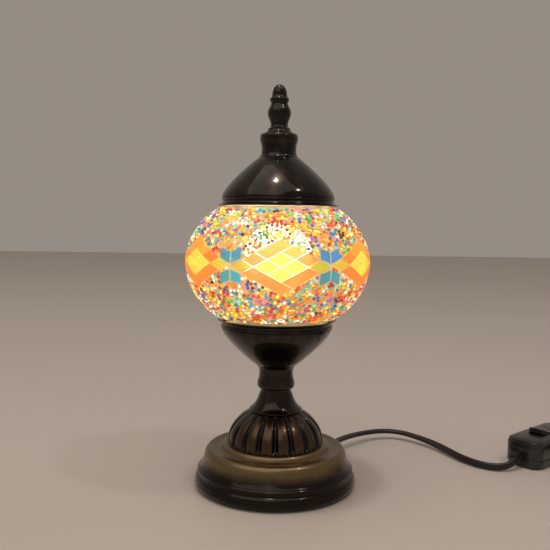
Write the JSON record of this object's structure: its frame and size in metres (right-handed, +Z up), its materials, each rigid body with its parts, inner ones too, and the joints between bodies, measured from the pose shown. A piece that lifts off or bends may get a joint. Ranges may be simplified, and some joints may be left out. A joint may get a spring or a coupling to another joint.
{
  "type": "table lamp",
  "caption": "Mosaic glass ball table lamp with turned bronze cups, fluted stem, stepped round base, screw bulb and an in-line switch on its cord.",
  "frame": {"origin": "middle of the felt's underside, on the table", "axes": "+Z up the lamp's axis, -Y towards the viewer, +X to the viewer's right"},
  "size_m": [0.3688, 0.1638, 0.2615],
  "materials": {
    "bronze": "dark bronze lacquer, polished",
    "antique_brass": "antique brass, satin",
    "iron": "plain",
    "steel": "plain",
    "brass": "plain",
    "felt": "felt",
    "rubber": "satin",
    "cord_sheath": "smooth",
    "plastic": "gloss",
    "thermoset": "satin",
    "glass": "clear",
    "bulb_glass": "satin",
    "beads": "mixed coloured seed beads in grout",
    "tiles": "cut coloured glass in grout",
    "filament": "glowing"
  },
  "bodies": {
    "stand": {"base_shell": "antique_brass", "felt_pad": "felt", "base_cover": "steel", "base_weight": "iron", "rod_washer": "steel", "rod_nut_lower": "steel", "threaded_rod": "steel", "fluted_dome": "bronze", "neck_cone": "bronze", "neck_collar": "bronze", "lower_cup": "bronze", "rod_nut_upper": "steel", "globe_gasket": "rubber", "holder_base": "thermoset", "holder_body": "thermoset", "screw_shell": "brass", "centre_contact": "brass", "terminal_screw_1": "brass", "terminal_screw_2": "brass", "cord_relief": "rubber", "cord_grip": "thermoset", "inner_lead": "cord_sheath", "lamp_cord": "cord_sheath", "supply_cord": "cord_sheath", "cord_coil": "cord_sheath", "plug_cord": "cord_sheath", "coil_tie": "plastic", "switch_base": "plastic", "switch_cover": "plastic", "rocker_pin": "steel", "switch_contact": "brass", "switch_screw_1": "steel", "switch_screw_2": "steel", "plug_body": "plastic", "plug_pin_1": "steel", "plug_pin_2": "steel"},
    "globe": {"globe_glass": "glass", "bead_field": "beads", "tile_medallion_1": "tiles", "tile_medallion_2": "tiles", "tile_medallion_3": "tiles", "tile_medallion_4": "tiles", "tile_medallion_5": "tiles", "tile_medallion_6": "tiles"},
    "cap": {"cap_shell": "bronze", "cap_collar": "bronze", "finial": "bronze", "cap_stud": "steel", "cap_nut": "steel", "cap_spider": "steel"},
    "bulb_carrier": {"bulb_contact": "brass"},
    "bulb": {"bulb_glass": "bulb_glass", "bulb_cap": "brass", "bulb_insulator": "thermoset", "bulb_stem": "glass", "filament": "filament"},
    "rocker": {"rocker": "plastic"}
  },
  "joints": [
    {"name": "globe_lift", "type": "slide", "parent": "stand", "child": "globe", "axis": [0, 0, 1], "range_m": [0, 0.09]},
    {"name": "cap_lift", "type": "slide", "parent": "globe", "child": "cap", "axis": [0, 0, 1], "range_m": [0, 0.06]},
    {"name": "bulb_rise", "type": "slide", "parent": "stand", "child": "bulb_carrier", "axis": [0, 0, 1], "range_m": [0, 0.0113]},
    {"name": "bulb_turn", "type": "hinge", "parent": "bulb_carrier", "child": "bulb", "pos_m": [0, 0, 0.15], "axis": [0, 0, 1], "range_deg": [0, 1440]},
    {"name": "rocker_tilt", "type": "hinge", "parent": "stand", "child": "rocker", "pos_m": [0.19904, 0.05724, 0.0179], "axis": [-0.6691, 0.7431, 0], "range_deg": [-18, 0]}
  ],
  "couplings": [
    {"joint": "bulb_rise", "follows": "bulb_turn", "m_per_rad": 0.00044881}
  ]
}
